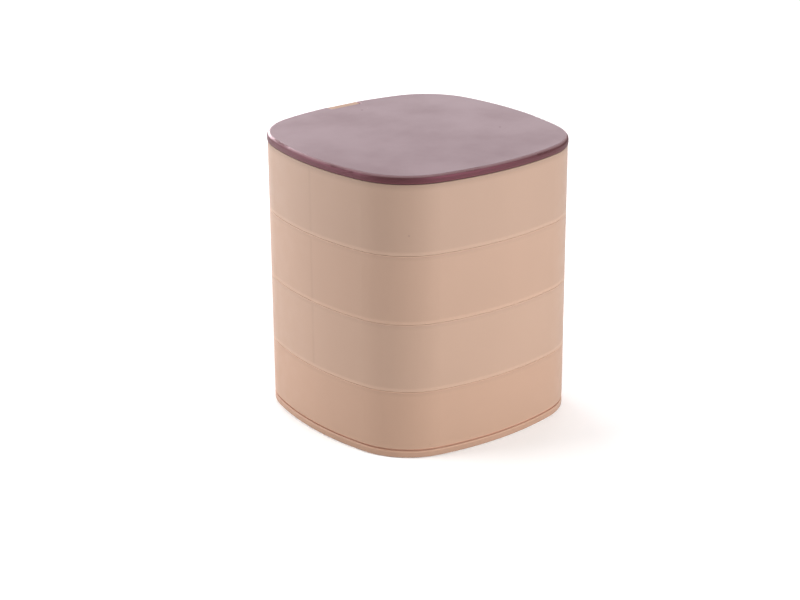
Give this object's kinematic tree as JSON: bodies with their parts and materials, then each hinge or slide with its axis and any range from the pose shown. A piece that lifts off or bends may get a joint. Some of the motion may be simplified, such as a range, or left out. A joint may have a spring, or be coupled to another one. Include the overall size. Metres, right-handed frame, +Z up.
{
  "type": "rotating jewelry box",
  "caption": "Rounded-square jewelry box: stacked trays swing out one by one on a corner rod, over a fixed bottom tray, under a hinged lid with a mirror inside.",
  "frame": {"origin": "on the surface the box stands on, under the middle of its plan", "axes": "+Z up, +Y towards the side with the lid hinge, +X to the right seen from the opposite side, which is the front"},
  "size_m": [0.112, 0.1118, 0.12],
  "materials": {
    "tray_plastic": "satin moulded plastic, beige pink",
    "lid_plastic": "smooth moulded plastic, dusty mauve",
    "mirror_glass": "silvered behind",
    "adhesive_foam": "double-sided foam tape",
    "steel": "zinc plated",
    "spacer_plastic": "natural slippery plastic",
    "rubber": "matt, self-adhesive"
  },
  "bodies": {
    "base": {"bottom_tray": "tray_plastic", "base_cover": "tray_plastic", "cover_screws": "steel", "rubber_feet": "rubber", "pivot_rod": "steel", "lower_screw": "steel", "lower_washer": "steel", "spacer_washers": "spacer_plastic", "disc_spring": "steel", "retaining_washer": "steel", "upper_screw": "steel"},
    "third_tier": {"third_tray": "tray_plastic"},
    "second_tier": {"second_tray": "tray_plastic"},
    "top_tier": {"top_tray": "tray_plastic", "pivot_cap": "tray_plastic"},
    "lid": {"lid_shell": "lid_plastic", "mirror_frame": "lid_plastic", "mirror": "mirror_glass", "mirror_tape": "adhesive_foam", "hinge_pin": "steel"}
  },
  "joints": [
    {"name": "third_tray_swivel", "type": "hinge", "parent": "base", "child": "third_tier", "pos_m": [-0.0385, 0.0385, 0.044], "axis": [0, 0, 1], "continuous": true},
    {"name": "second_tray_swivel", "type": "hinge", "parent": "base", "child": "second_tier", "pos_m": [-0.0385, 0.0385, 0.073], "axis": [0, 0, 1], "continuous": true},
    {"name": "top_tray_swivel", "type": "hinge", "parent": "base", "child": "top_tier", "pos_m": [-0.0385, 0.0385, 0.102], "axis": [0, 0, 1], "continuous": true},
    {"name": "lid_hinge", "type": "hinge", "parent": "top_tier", "child": "lid", "pos_m": [0.0016, 0.054, 0.1183], "axis": [-1, 0, 0], "range_deg": [0, 110]}
  ]
}
